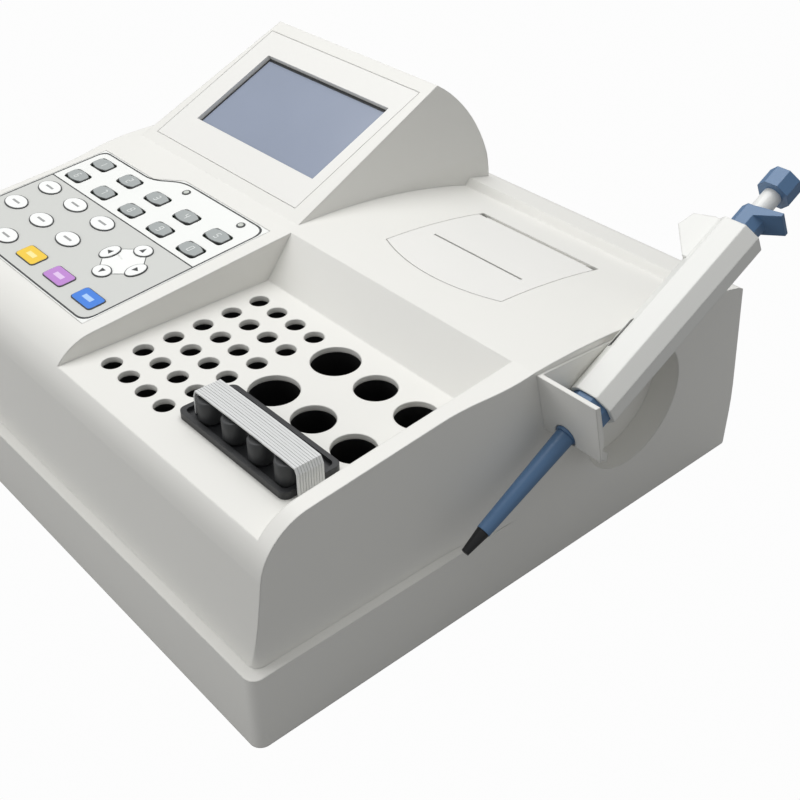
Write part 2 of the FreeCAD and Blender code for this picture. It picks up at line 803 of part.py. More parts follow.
def make_base():
    """The base plate with its posts, the rubber feet under it and the screws that hold it."""
    plate = prism_z("plate", rounded(plate_inset - half, front + plate_inset, half - plate_inset,
                                     rear - plate_end, base_corner), foot_height, bottom)
    board_x, board_y = board_left - half, rear - serial_depth / 2 - board_length
    posts = [rod(f"post_{row}_{column}", (board_x + board_margin + column * board_span_x,
                                          board_y + board_margin + row * board_span_y, bottom),
                 post_radius, board_post) for row in range(2) for column in range(2)]
    holes = []
    screws = []
    for index, (x, y) in enumerate(screw_places):
        holes.append(rod(f"plate_hole_{index}", (x, y, foot_height), screw_radius + seam,
                         plate_thickness))
        holes.append(rod(f"head_seat_{index}", (x, y, foot_height), screw_head_radius + seam,
                         screw_head_height))
        screws.append(rod(f"head_{index}", (x, y, foot_height), screw_head_radius,
                          screw_head_height))
        screws.append(rod(f"shank_{index}", (x, y, foot_height), screw_radius, screw_length))
    tail = box("plate_tail", (wall + seam - upper, rear - plate_end * 2, bottom),
               (upper - wall - seam, rear - wall * 1.5, bottom + wall))
    node(cut("plate_with_holes", fuse("plate_with_posts", plate, tail, *posts), *holes),
         "base_plate")
    node(fuse("screws", *screws), "base_screws")
    feet = [rod(f"foot_{row}_{column}", (x, y, 0.0), foot_radius, foot_height)
            for row, y in enumerate((front + foot_inset, rear - foot_inset - plate_end))
            for column, x in enumerate((foot_inset - half, half - foot_inset))]
    node(fuse("feet", *feet), "rubber_feet")


def make_display():
    """The bezel flush in the hood, the window behind it and the graphic display."""
    plate = box("bezel_plate", (bezel_left + seam, bezel_low + seam, -bezel_thickness),
                (bezel_right - seam, bezel_low + bezel_length - seam, 0.0))
    opening = box("bezel_opening", (window_left, window_start, -bezel_thickness),
                  (window_right, window_end, wall))
    node(tilt(cut("bezel", plate, opening), slope), "display_bezel")
    back = -bezel_thickness - glass_thickness
    lap = glass_lap
    glass = box("glass", (window_left - lap, window_start - lap, back),
                (window_right + lap, window_end + lap, -bezel_thickness))
    node(tilt(glass, slope), "display_window")
    frame = box("lcd_frame", (window_left - lap, window_start - lap, back - lcd_depth / 2),
                (window_right + lap, window_end + lap, back))
    board = box("lcd_board", (window_left - lap, window_start - lap / 2, back - lcd_depth),
                (window_right + lap, window_end + lap / 2, back - lcd_depth / 2))
    node(tilt(fuse("lcd", frame, board), slope), "lcd_module")


def key_forms():
    """Every key: its name, form, centre and widths."""
    forms = []
    for index in range(10):
        x, y = key_columns[index % 5], key_rows[index // 5]
        forms.append((f"number_key_{(index + 1) % 10}", "plate", x, y, number_width, number_height))
    ovals = [(column, row) for row in (2, 3) for column in range(3)] + [(0, 4), (1, 4)]
    for index, (column, row) in enumerate(ovals):
        forms.append((f"function_key_{index + 1}", "oval", key_columns[column], key_rows[row],
                      oval_width, oval_height))
    for index, colour in enumerate(("yellow", "purple", "blue")):
        forms.append((f"{colour}_key", "plate", key_columns[index + 2], key_rows[4], colour_width,
                      colour_height))
    for name, across, along in (("left", -1, 0), ("right", 1, 0), ("up", 0, 1), ("down", 0, -1)):
        widths = (arrow_wide, arrow_narrow) if along else (arrow_narrow, arrow_wide)
        forms.append((f"arrow_{name}_key", "oval", arrow_x + arrow_reach * across,
                      arrow_middle + arrow_rise * along, *widths))
    return forms


def key_solid(name, form, x, y, width, height, grow, low, high):
    """A key's outline grown all round, as a solid between two heights."""
    if form == "oval":
        return oval(name, (x, y, low), width + grow * 2, height + grow * 2, high - low)
    return prism_z(name, rounded(x - width / 2 - grow, y - height / 2 - grow, x + width / 2 + grow,
                                 y + height / 2 + grow, key_corner), low, high)


def make_keypad():
    """The overlay in its recess, the board under it, and the keys between them."""
    lip_top = -overlay_thickness - key_lip_gap
    lip_low = lip_top - key_lip_thickness
    openings = []
    for name, *form in key_forms():
        stem = key_solid(name + "_stem", *form, 0.0, lip_top, key_rise)
        lip = key_solid(name + "_lip", *form, key_lip, lip_low, lip_top)
        node(tilt(fuse(name + "_body", stem, lip), panel), name)
        openings.append(key_solid(name + "_opening", *form, key_gap, -wall, wall))
    board_top = board_thickness - board_depth
    lights = [rod(f"light_{index}", (x, light_row, board_top), light_radius, key_rise - board_top)
              for index, x in enumerate((key_columns[2] + light_shift, key_columns[4]))]
    openings += [rod(f"light_opening_{index}", (x, light_row, -wall), light_radius + key_gap,
                     wall * 2) for index, x in enumerate((key_columns[2] + light_shift,
                                                          key_columns[4]))]
    node(tilt(fuse("lights", *lights), panel), "status_leds")
    sheet_plate = prism_z("overlay_sheet", keypad_outline(seam), -overlay_thickness, 0.0)
    node(tilt(cut("overlay", sheet_plate, *openings), panel), "keypad_overlay")
    board = prism_z("key_board", keypad_outline(overlay_lap + seam), -board_depth, board_top)
    node(tilt(board, panel), "keypad_board")


def make_blocks():
    """The heated blocks under the deck, with their wells."""
    floor = under_deck - well_depth
    margin = block_margin
    small_radius, small_count = small_hole / 2, len(small_x)
    small = box("small_block", (small_x[0] - small_radius - margin,
                                small_y[0] - small_radius - margin, floor - well_floor),
                (small_x[-1] + small_radius + margin, small_y[-1] + small_radius + margin,
                 under_deck))
    node(cut("small_wells", small, *wells("small_well", floor, under_deck + wall, small_places)),
         "cuvette_block")
    left, right = large_places[0], large_places[-1]
    large = box("large_block", (left[0] - left[2] - margin, left[1] - left[2] - margin,
                                floor - well_floor),
                (right[0] + right[2] + margin, right[1] + left[2] + margin, under_deck))
    node(cut("large_wells", large, *wells("large_well", floor, under_deck + wall, large_places)),
         "reagent_block")
    measuring = box("measuring", (tray_x, tray_y, under_deck - measuring_height),
                    (tray_right, left[1] - left[2] - margin - seam, under_deck))
    node(measuring, "measuring_block")


def make_channels():
    """The black tray with its four channel caps and the clear strips that stand over them."""
    floor = deck_floor + tray_floor
    shell = prism_z("tray_shell", rounded(tray_x, tray_y, tray_right, tray_y + tray_depth,
                                          tray_corner), deck_floor, deck_floor + tray_height)
    inside = prism_z("tray_inside", rounded(tray_x + tray_rim, tray_y + tray_rim,
                                            tray_right - tray_rim,
                                            tray_y + tray_depth - tray_rim,
                                            tray_corner - tray_rim / 2), floor, sky)
    spigot_holes = [rod(f"spigot_hole_{index}", (x, cap_y, deck_floor), cap_spigot + running_gap,
                        tray_height) for index, x in enumerate(cap_x)]
    node(cut("tray", shell, inside, *spigot_holes), "channel_tray")
    for index, x in enumerate(cap_x):
        cap = rod(f"cap_{index + 1}", (x, cap_y, floor), cap_radius, cap_height)
        spigot = rod(f"spigot_{index + 1}", (x, cap_y, deck_floor), cap_spigot, tray_height)
        node(fuse(f"cap_body_{index + 1}", cap, spigot), f"channel_cap_{index + 1}")
    left, right = tray_x + cuvette_start, tray_right + seam + cuvette_leg
    top = deck_floor + cuvette_height
    under = top - cuvette_bridge
    strips = []
    for index in range(strip_count):
        y = tray_y + cuvette_front + cuvette_pitch * index
        strips.append(prism_y(f"cuvette_strip_{index}", [
            (left, floor + seam), (left + cuvette_leg, floor + seam), (left + cuvette_leg, under),
            (right - cuvette_leg, under), (right - cuvette_leg, deck_floor), (right, deck_floor),
            (right, top), (left, top)], y, y + cuvette_thickness))
    inset = cuvette_bridge - cuvette_web
    web = prism_y("cuvette_web", [
        (left + inset, floor + seam), (left + cuvette_leg, floor + seam),
        (left + cuvette_leg, under), (right - cuvette_leg, under), (right - cuvette_leg, deck_floor),
        (right - inset, deck_floor), (right - inset, top - inset), (left + inset, top - inset)],
        tray_y + cuvette_front, tray_y + cuvette_front + cuvette_pitch * strip_count - seam)
    node(fuse("strips", web, *strips), "cuvette_strips")


def make_printer():
    """The hinged door with its paper slot, and the frame below it with platen and paper roll."""
    plan = prism_z("door_plan", door_outline(0.0, hinge_y), under_deck, sky)
    thin = door_thickness
    layer = prism_x("door_layer", [
        (crest_y, crest_z, rear_arc), (strip_y, strip_height), (strip_y, strip_height - thin,
                                                                -rear_arc),
        (crest_y, crest_z - thin)], -half, half)
    slot = box("slot", (door_x0 + slot_margin, slot_y, under_deck),
               (door_x1 - slot_margin, slot_y + slot_width, sky))
    barrel_x, barrel_length = door_x0 + hinge_end, door_width - hinge_end * 2
    barrel = rod_x("barrel", (barrel_x, hinge_y, hinge_z), hinge_radius, barrel_length)
    pin = rod_x("hinge_pin", (barrel_x - pin_length, hinge_y, hinge_z), pin_radius,
                barrel_length + pin_length * 2)
    door = cut("door_plate", common("door_skin", plan, layer), slot)
    node(fuse("door", door, barrel, pin), "printer_door")

    low_x, high_x = door_x0 - tub_wall, door_x1 + tub_wall
    low_y, high_y = door_y0 - tub_front, hinge_y + door_gap + tub_wall
    outer = box("tub_outer", (low_x - seam * 2, low_y, tub_floor - tub_wall),
                (high_x + seam * 2, high_y, sky))
    under_skin = prism_x("under_skin", skin(wall + seam), wall - upper, upper - wall)
    inner = box("tub_inner", (door_x0 - seam * 2, low_y + tub_wall, tub_floor),
                (door_x1 + seam * 2, high_y - tub_wall, sky))
    tub = cut("tub", common("tub_solid", outer, under_skin), inner)
    profile = [(platen_y - platen_radius * 2, tub_floor - tub_wall / 2),
               (hinge_y + hinge_radius, tub_floor - tub_wall / 2),
               (hinge_y + hinge_radius, hinge_z), (hinge_y - hinge_radius * 2, hinge_z),
               (platen_y + platen_radius * 1.5, platen_z + spindle_radius + bracket_wall / 2),
               (platen_y - platen_radius * 1.5, platen_z + spindle_radius + bracket_wall / 2)]
    brackets = [prism_x(f"bracket_{index}", profile, x, x + bracket_wall)
                for index, x in enumerate((bracket_x, bracket_far))]
    bores = [rod_x(f"bore_{name}", (low_x + tub_wall, y, z), radius + running_gap,
                   door_width - tub_wall)
             for name, y, z, radius in (("hinge", hinge_y, hinge_z, pin_radius),
                                        ("platen", platen_y, platen_z, spindle_radius),
                                        ("roll", roll_y, roll_z, spindle_radius))]
    node(cut("frame", fuse("frame_solid", tub, *brackets), *bores), "printer_frame")

    inside_x = bracket_x + bracket_wall + roll_gap
    inside_length = bracket_far - roll_gap - inside_x
    for label, radius, y, z in (("platen_roller", platen_radius, platen_y, platen_z),
                                ("paper_roll", roll_radius, roll_y, roll_z)):
        drum = rod_x(label + "_drum", (inside_x, y, z), radius, inside_length)
        axle = rod_x(label + "_axle", (bracket_x, y, z), spindle_radius,
                     bracket_far + bracket_wall - bracket_x)
        node(fuse(label + "_body", drum, axle), label)


def make_electronics():
    """The main board with its serial connector, the power supply and the mains inlet."""
    board_x, board_y = board_left - half, rear - serial_depth / 2 - board_length
    low = bottom + board_post
    board = box("board", (board_x, board_y, low),
                (board_x + board_width, board_y + board_length, low + board_thickness))
    serial = box("serial", (serial_x, rear - serial_depth, serial_z),
                 (serial_x + serial_width, rear - wall, serial_z + serial_height))
    chips = [box(f"chip_{index}", (board_x + 20.0 + 32.0 * index, board_y + 30.0, serial_z),
                 (board_x + 42.0 + 32.0 * index, board_y + 52.0, serial_z + 3.0))
             for index in range(4)]
    node(fuse("board_set", board, serial, *chips), "main_board")

    supply_x, supply_y = supply_left - half, front + supply_front
    case = box("supply_case", (supply_x, supply_y, bottom),
               (supply_x + supply_width, supply_y + supply_length, bottom + supply_height))
    inside = box("supply_inside", (supply_x + supply_wall, supply_y + supply_wall, foot_height),
                 (supply_x + supply_width - supply_wall, supply_y + supply_length - supply_wall,
                  bottom + supply_height - supply_wall))
    node(cut("supply", case, inside), "power_supply")

    lap = inlet_flange_lap
    high = inlet_low + inlet_height
    flange = box("inlet_plate", (inlet_x - lap, 0.0, inlet_low - lap),
                 (inlet_x + inlet_width + lap, inlet_flange, high + lap))
    body = box("inlet_body", (inlet_x, -inlet_depth, inlet_low), (inlet_x + inlet_width, 0.0, high))
    socket_x = inlet_x + socket_wall
    socket_z = inlet_low + (inlet_height - socket_height) / 2
    socket = box("socket", (socket_x, inlet_flange - socket_depth, socket_z),
                 (socket_x + socket_width, inlet_flange, socket_z + socket_height))
    pins = [box(f"socket_pin_{index}", (socket_x + offset, inlet_flange - socket_depth - 1.0,
                                        socket_z + rise),
                (socket_x + offset + socket_pin, -socket_pin, socket_z + rise + socket_pin * 2))
            for index, (offset, rise) in enumerate(((4.0, 3.5), (18.0, 3.5), (11.0, 9.5)))]
    well = box("rocker_well", (rocker_x - rocker_gap, inlet_flange - inlet_depth, rocker_low),
               (rocker_x + rocker_width + rocker_gap, inlet_flange, rocker_high))
    module = fuse("inlet", cut("inlet_shell", fuse("inlet_solid", flange, body), socket, well),
                  *pins)
    node(tilt(module, rear_wall), "power_inlet")
    tall, deep = rocker_height / 2, rocker_depth
    rocker = prism_x("rocker", [(-deep, -tall), (deep, -tall - 0.5), (deep - 1.8, 0.0),
                                (deep, tall + 0.5), (-deep, tall)], 0.0, rocker_width)
    node(tilt(rocker, switch), "power_switch")


def octagon(width, depth):
    """Eight points of an oblong octagon round the axis."""
    x, y = width / 2, depth / 2
    chamfer = min(width, depth) * 0.29
    return [(-x, chamfer - y), (chamfer - x, -y), (x - chamfer, -y), (x, chamfer - y),
            (x, y - chamfer), (x - chamfer, y), (chamfer - x, y), (-x, y - chamfer)]


def make_pipette():
    """The pipette, drawn upright with its nozzle down and then leaned into the ear."""
    shaft = cone("shaft", (0.0, 0.0, -shaft_tip), shaft_thin, shaft_thick, shaft_tip)
    node(tilt(shaft, pipette), "pipette_shaft")
    nozzle = cone("nozzle", (0.0, 0.0, -shaft_tip - nozzle_length), nozzle_tip, shaft_thin - 0.3,
                  nozzle_length)
    bore = rod("nozzle_hole", (0.0, 0.0, -shaft_tip - nozzle_length), nozzle_bore, nozzle_length)
    node(tilt(cut("nozzle_body", nozzle, bore), pipette), "pipette_nozzle")

    collar_end = collar_start + collar_length
    pilot = rod("collar_pilot", (0.0, 0.0, 0.0), ear_hole - seam, collar_start + 1.0)
    collar = prism_z("collar", octagon(collar_width, collar_width), collar_start, collar_end)
    node(tilt(fuse("collar_body", pilot, collar), pipette), "pipette_collar")

    handle_end = handle_start + handle_length
    grip = prism_z("grip", octagon(handle_width, handle_depth), handle_start, handle_end)
    collar_seat = prism_z("collar_seat", octagon(collar_width + seam * 2, collar_width + seam * 2),
                          handle_start, collar_end + seam)
    hook = prism_y("hook", [
        (0.0, hook_start), (-handle_width / 2, hook_start), (-handle_width / 2 - hook_reach,
                                                           hook_start + hook_length * 0.5),
        (-handle_width / 2 - hook_reach * 0.8, hook_start + hook_length * 0.8),
        (-handle_width / 2, hook_start + hook_length * 0.9), (0.0, handle_end)],
        -handle_depth / 3, handle_depth / 3)
    stem_bore = rod("stem_bore", (0.0, 0.0, handle_end - stem_length), stem_radius + running_gap,
                    stem_length * 2)
    ejector_seat = prism_z("ejector_seat", octagon(ejector_width + seam * 2,
                                                   ejector_width + seam * 2),
                           handle_end - ejector_height / 2, handle_end + wall)
    window_seat = box("counter_seat", (-handle_width / 2, -handle_depth, counter_start),
                      (counter_width - handle_width / 2, -handle_depth / 4,
                       counter_start + counter_length))
    grip_body = cut("grip_body", fuse("grip_hook", grip, hook), collar_seat, stem_bore,
                    ejector_seat, window_seat)
    node(tilt(grip_body, pipette), "pipette_handle")
    window = common("counter_common", prism_z("counter_grip", octagon(handle_width, handle_depth),
                                              handle_start, handle_end),
                    box("counter_box", (-handle_width / 2, -handle_depth, counter_start),
                        (counter_width - handle_width / 2 - 0.6, -handle_depth / 4,
                         counter_start + counter_length)))
    node(tilt(window, pipette), "pipette_counter")

    ejector_low = handle_end - 1.0
    barrel = prism_z("ejector_barrel", octagon(ejector_width, ejector_width), ejector_low,
                     ejector_low + ejector_height)
    wing = prism_y("ejector_wing", [
        (0.0, ejector_low + ejector_height * 0.55), (ejector_reach, ejector_low + ejector_height),
        (ejector_reach, ejector_low + ejector_height + 2.0), (0.0, ejector_low + ejector_height)],
        -ejector_width / 2, ejector_width / 2)
    ejector_bore = rod("ejector_bore", (0.0, 0.0, ejector_low), stem_radius + seam,
                       ejector_height + 10.0)
    node(tilt(cut("ejector", fuse("ejector_solid", barrel, wing), ejector_bore), pipette),
         "pipette_ejector")

    stem = rod("stem", (0.0, 0.0, knob_start - stem_length), stem_radius, stem_length)
    spigot = rod("stem_spigot", (0.0, 0.0, knob_start), stem_radius / 2, knob_length / 2)
    node(tilt(fuse("stem_body", stem, spigot), pipette), "pipette_stem")
    knob = prism_z("knob", octagon(knob_radius * 2, knob_radius * 2), knob_start,
                   knob_start + knob_length)
    knob_bore = rod("knob_bore", (0.0, 0.0, knob_start), stem_radius / 2 + running_gap,
                    knob_length / 2 + seam)
    node(tilt(cut("knob_body", knob, knob_bore), pipette), "pipette_knob")


make_housing()
make_base()
make_display()
make_keypad()
make_blocks()
make_channels()
make_printer()
make_electronics()
make_pipette()
doc.recompute()

for item in doc.Objects:
    if "Invalid" in item.State or "Error" in item.State:
        raise RuntimeError(f"{item.Label} failed: {item.State}")
for item in nodes:
    if item.Shape.isNull() or not item.Shape.isValid():
        raise RuntimeError(f"{item.Label} has no valid solid")

os.makedirs("parts", exist_ok=True)
for item in nodes:
    item.Shape.exportStep(f"parts/{item.Label}.step")
print(len(nodes), "sub-parts,", round(sum(item.Shape.Volume for item in nodes) / 1000), "cm3")
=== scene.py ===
"""The looks of a bench coagulation analyzer: camera, studio, materials and the detailed visible pieces."""
import math

import bmesh
import bpy
from mathutils import Matrix, Vector


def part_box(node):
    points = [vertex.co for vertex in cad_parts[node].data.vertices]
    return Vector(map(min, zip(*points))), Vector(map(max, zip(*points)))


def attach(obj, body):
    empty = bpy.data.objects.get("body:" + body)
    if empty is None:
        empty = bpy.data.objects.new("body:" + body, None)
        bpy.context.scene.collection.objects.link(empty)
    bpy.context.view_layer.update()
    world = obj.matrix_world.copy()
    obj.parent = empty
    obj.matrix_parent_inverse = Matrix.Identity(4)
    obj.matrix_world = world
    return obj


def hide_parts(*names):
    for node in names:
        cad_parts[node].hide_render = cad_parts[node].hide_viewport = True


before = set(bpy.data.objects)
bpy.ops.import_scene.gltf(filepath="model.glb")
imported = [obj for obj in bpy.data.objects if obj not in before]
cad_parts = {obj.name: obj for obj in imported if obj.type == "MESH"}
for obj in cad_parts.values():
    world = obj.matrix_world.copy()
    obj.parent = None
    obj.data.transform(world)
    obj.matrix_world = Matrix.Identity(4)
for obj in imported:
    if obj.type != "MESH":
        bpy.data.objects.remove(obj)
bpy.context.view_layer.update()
scene = bpy.context.scene
scene.view_settings.view_transform = "Standard"
MM = 0.001
plate_low, plate_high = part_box("base_plate")
cover_middle = (plate_low[0] + plate_high[0]) / 2
move = Matrix.Translation((cover_middle, 0.0, 0.0))


def colour(text):
    """A linear colour from an sRGB hex text."""
    parts = [int(text[i:i + 2], 16) / 255 for i in (0, 2, 4)]
    linear = [c / 12.92 if c <= 0.04045 else ((c + 0.055) / 1.055) ** 2.4 for c in parts]
    return (*linear, 1.0)


def tilted(x, y, z, degrees):
    """A frame leaned about X, given in millimetres."""
    place = Matrix.Translation(Vector((x, y, z)) * MM)
    return place @ Matrix.Rotation(math.radians(degrees), 4, "X") @ Matrix.Scale(MM, 4)


def plastic(name, tint, rough=0.45, grain=0.03, pits=0.06, edge=0.6, scale=900.0, **sockets):
    """Moulded plastic: a faint cloudy tint, a fine texture in the surface and softened edges."""
    material = bpy.data.materials.new(name)
    material.use_nodes = True
    tree = material.node_tree
    shader = tree.nodes["Principled BSDF"]
    shader.inputs["Roughness"].default_value = rough
    for socket, value in sockets.items():
        shader.inputs[socket.replace("_", " ")].default_value = value
    spot = tree.nodes.new("ShaderNodeTexCoord")
    cloud = tree.nodes.new("ShaderNodeTexNoise")
    cloud.inputs["Scale"].default_value = 22.0
    cloud.inputs["Detail"].default_value = 3.0
    span = tree.nodes.new("ShaderNodeMapRange")
    span.inputs["To Min"].default_value = 1.0 - grain
    span.inputs["To Max"].default_value = 1.0 + grain
    shade = tree.nodes.new("ShaderNodeMix")
    shade.data_type = "RGBA"
    shade.blend_type = "MULTIPLY"
    shade.inputs["Factor"].default_value = 1.0
    shade.inputs[6].default_value = colour(tint)
    fine = tree.nodes.new("ShaderNodeTexNoise")
    fine.inputs["Scale"].default_value = scale
    fine.inputs["Detail"].default_value = 2.0
    soft = tree.nodes.new("ShaderNodeBevel")
    soft.samples = 4
    soft.inputs["Radius"].default_value = edge * MM
    bump = tree.nodes.new("ShaderNodeBump")
    bump.inputs["Strength"].default_value = pits
    bump.inputs["Distance"].default_value = 0.0002
    link = tree.links.new
    link(spot.outputs["Object"], cloud.inputs["Vector"])
    link(spot.outputs["Object"], fine.inputs["Vector"])
    link(cloud.outputs["Fac"], span.inputs["Value"])
    link(span.outputs["Result"], shade.inputs[7])
    link(shade.outputs[2], shader.inputs["Base Color"])
    link(fine.outputs["Fac"], bump.inputs["Height"])
    link(soft.outputs["Normal"], bump.inputs["Normal"])
    link(bump.outputs["Normal"], shader.inputs["Normal"])
    return material


def dress(material, *names):
    """Give CAD nodes a material."""
    for name in names:
        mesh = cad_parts[name].data
        mesh.materials.clear()
        mesh.materials.append(material)


def add(name, mesh, place, materials, body, replaces=()):
    """Turn a bmesh, drawn from the cover's middle, into a piece that rides on a body."""
    mesh.transform(move @ place)
    bmesh.ops.recalc_face_normals(mesh, faces=mesh.faces)
    data = bpy.data.meshes.new(name)
    mesh.to_mesh(data)
    mesh.free()
    for material in materials:
        data.materials.append(material)
    piece = bpy.data.objects.new(name, data)
    scene.collection.objects.link(piece)
    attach(piece, body)
    if replaces:
        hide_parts(*replaces)
    return piece


def slab(mesh, outline, low, high, bevel=0.0, slot=0, top_slot=None, steps=3, both=False):
    """A prism over an outline, with its upper edge (or both edges) rounded."""
    base = [mesh.verts.new((x, y, low)) for x, y in outline]
    head = [mesh.verts.new((x, y, high)) for x, y in outline]
    count = len(outline)
    faces = [mesh.faces.new(base[::-1]), mesh.faces.new(head)]
    for i in range(count):
        faces.append(mesh.faces.new((base[i], base[(i + 1) % count], head[(i + 1) % count],
                                     head[i])))
    for face in faces:
        face.material_index = slot
    faces[1].material_index = slot if top_slot is None else top_slot
    if bevel:
        edges = list(faces[1].edges) + (list(faces[0].edges) if both else [])
        made = bmesh.ops.bevel(mesh, geom=edges, offset=bevel, segments=steps, affect="EDGES",
                               profile=0.6)
        for face in made["faces"]:
            face.smooth = True
            face.material_index = slot
    return faces


def lathe(mesh, profile, count=32, slot=0, smooth=True):
    """A turned form about the local Z axis from (radius, height) pairs."""
    rings = []
    for radius, height in profile:
        rings.append([mesh.verts.new((radius * math.cos(2 * math.pi * i / count),
                                      radius * math.sin(2 * math.pi * i / count), height))
                      for i in range(count)])
    for low, high in zip(rings, rings[1:]):
        for i in range(count):
            face = mesh.faces.new((low[i], low[(i + 1) % count], high[(i + 1) % count], high[i]))
            face.smooth = smooth
            face.material_index = slot
    for ring in (rings[0][::-1], rings[-1]):
        face = mesh.faces.new(ring)
        face.material_index = slot


def loop_of(width, height, bulge=0.0, corner=1.5, x=0.0, y=0.0):
    """A rectangle with rounded corners whose long sides bow outwards."""
    half_x, half_y = width / 2, height / 2
    points = []
    for sign_x, sign_y, start in ((1, 1, 0), (-1, 1, 90), (-1, -1, 180), (1, -1, 270)):
        centre_x, centre_y = sign_x * (half_x - corner), sign_y * (half_y - bulge - corner)
        for step in range(4):
            turn = math.radians(start + step * 30)
            points.append((centre_x + corner * math.cos(turn),
                           centre_y + corner * math.sin(turn)))
        if bulge and start in (0, 180):
            for step in range(1, 8):
                part = step / 8
                across = (1 - 2 * part) * (half_x - corner) * sign_x
                points.append((across, sign_y * (half_y - bulge * (1 - 4 * part * (1 - part)))))
    return [(px + x, py + y) for px, py in points]


def ellipse(width, height, x=0.0, y=0.0, count=32):
    return [(x + width / 2 * math.cos(2 * math.pi * i / count),
             y + height / 2 * math.sin(2 * math.pi * i / count)) for i in range(count)]


def ring(mesh, outer, inner, low, high, slot=0):
    """A flat band between two outlines with the same number of points."""
    count = len(outer)
    rows = [[mesh.verts.new((x, y, z)) for x, y in line]
            for line, z in ((outer, low), (outer, high), (inner, high), (inner, low))]
    for a, b in zip(rows, rows[1:] + rows[:1]):
        for i in range(count):
            face = mesh.faces.new((a[i], a[(i + 1) % count], b[(i + 1) % count], b[i]))
            face.material_index = slot


# Camera: the photograph's viewpoint, high on the right front corner
camera = bpy.data.objects.new("camera", bpy.data.cameras.new("camera"))
azimuth, elevation, roll = math.radians(48.78), math.radians(35.722), math.radians(0.138)
back = Vector((math.sin(azimuth) * math.cos(elevation), -math.cos(azimuth) * math.cos(elevation),
               math.sin(elevation)))
right = Vector((math.cos(azimuth), math.sin(azimuth), 0.0))
turn = Matrix((right, back.cross(right), back)).transposed() @ Matrix.Rotation(-roll, 3, "Z")
camera.matrix_world = move @ Matrix.Translation((0.48096, -0.3512, 0.45073)) @ turn.to_4x4()
camera.data.lens = 53.933
camera.data.sensor_width = 36.0
scene.collection.objects.link(camera)
scene.camera = camera

# Studio: a pale floor that the camera sees as white, a soft top light and a weak front fill
ground = bmesh.new()
bmesh.ops.create_grid(ground, x_segments=1, y_segments=1, size=4.0)
floor_mesh = bpy.data.meshes.new("floor")
ground.to_mesh(floor_mesh)
ground.free()
floor = bpy.data.objects.new("floor", floor_mesh)
scene.collection.objects.link(floor)
pale = bpy.data.materials.new("floor_pale")
pale.use_nodes = True
floor_tree = pale.node_tree
floor_shader = floor_tree.nodes["Principled BSDF"]
floor_shader.inputs["Base Color"].default_value = (0.30, 0.30, 0.30, 1.0)
floor_shader.inputs["Roughness"].default_value = 0.9
floor_glow = floor_tree.nodes.new("ShaderNodeEmission")
floor_glow.inputs["Strength"].default_value = 0.98
floor_mix = floor_tree.nodes.new("ShaderNodeMixShader")
floor_path = floor_tree.nodes.new("ShaderNodeLightPath")
floor_tree.links.new(floor_path.outputs["Is Camera Ray"], floor_mix.inputs["Fac"])
floor_tree.links.new(floor_shader.outputs["BSDF"], floor_mix.inputs[1])
floor_tree.links.new(floor_glow.outputs["Emission"], floor_mix.inputs[2])
floor_tree.links.new(floor_mix.outputs["Shader"],
                     floor_tree.nodes["Material Output"].inputs["Surface"])
floor_mesh.materials.append(pale)

world = bpy.data.worlds.new("world")
world.use_nodes = True
sky = world.node_tree
sky_back = sky.nodes["Background"]
sky_back.inputs["Color"].default_value = (0.98, 0.99, 1.0, 1.0)
sky_back.inputs["Strength"].default_value = 0.42
sky_white = sky.nodes.new("ShaderNodeBackground")
sky_mix = sky.nodes.new("ShaderNodeMixShader")
sky_path = sky.nodes.new("ShaderNodeLightPath")
sky.links.new(sky_path.outputs["Is Camera Ray"], sky_mix.inputs["Fac"])
sky.links.new(sky_back.outputs["Background"], sky_mix.inputs[1])
sky.links.new(sky_white.outputs["Background"], sky_mix.inputs[2])
sky.links.new(sky_mix.outputs["Shader"], sky.nodes["World Output"].inputs["Surface"])
scene.world = world


def lamp(name, spot, aim, size, power):
    """A square soft light pointed at a place."""
    light = bpy.data.lights.new(name, "AREA")
    light.size = size
    light.energy = power
    item = bpy.data.objects.new(name, light)
    item.location = move @ Vector(spot)
    item.rotation_euler = (Vector(spot) - Vector(aim)).to_track_quat("Z", "Y").to_euler()
    scene.collection.objects.link(item)


lamp("top_light", (-0.30, 0.25, 1.50), (0.0, 0.0, 0.1), 1.3, 17.0)
lamp("front_light", (-0.70, -1.40, 0.80), (0.0, 0.0, 0.1), 0.9, 6.0)

# White cover: fine textured off-white plastic on the housing, the bezel and the printer door
white = plastic("cover_white", "e6e5e0", rough=0.42, grain=0.012, pits=0.05, edge=1.2)
dress(white, "main_housing")
dress(plastic("door_white", "e7e6e2", rough=0.40, grain=0.012, pits=0.05, edge=0.3),
      "printer_door", "display_bezel")
dress(plastic("frame_grey", "5c5c5c", rough=0.5), "printer_frame")
dress(plastic("paper", "f2f1ec", rough=0.8, grain=0.02), "paper_roll")
dress(plastic("platen_rubber", "1c1c1c", rough=0.7), "platen_roller")

# Base: dark plate, feet and screws under the cover, and the parts inside it
dress(plastic("base_dark", "161716", rough=0.55, edge=0.4), "base_plate")
dress(plastic("foot_rubber", "141414", rough=0.75), "rubber_feet")
dress(plastic("screw_steel", "9a9a98", rough=0.3, Metallic=1.0), "base_screws")
dress(plastic("circuit_green", "1d5a34", rough=0.5), "main_board", "keypad_board")
dress(plastic("supply_metal", "8c8e8d", rough=0.35, Metallic=0.8), "power_supply")
dress(plastic("inlet_black", "17181a", rough=0.4), "power_inlet")
dress(plastic("rocker_black", "1b1c1e", rough=0.28), "power_switch")

# Wells: near-black heated blocks under the deck
dress(plastic("block_black", "060606", rough=0.6, grain=0.1), "cuvette_block", "reagent_block",
      "measuring_block")

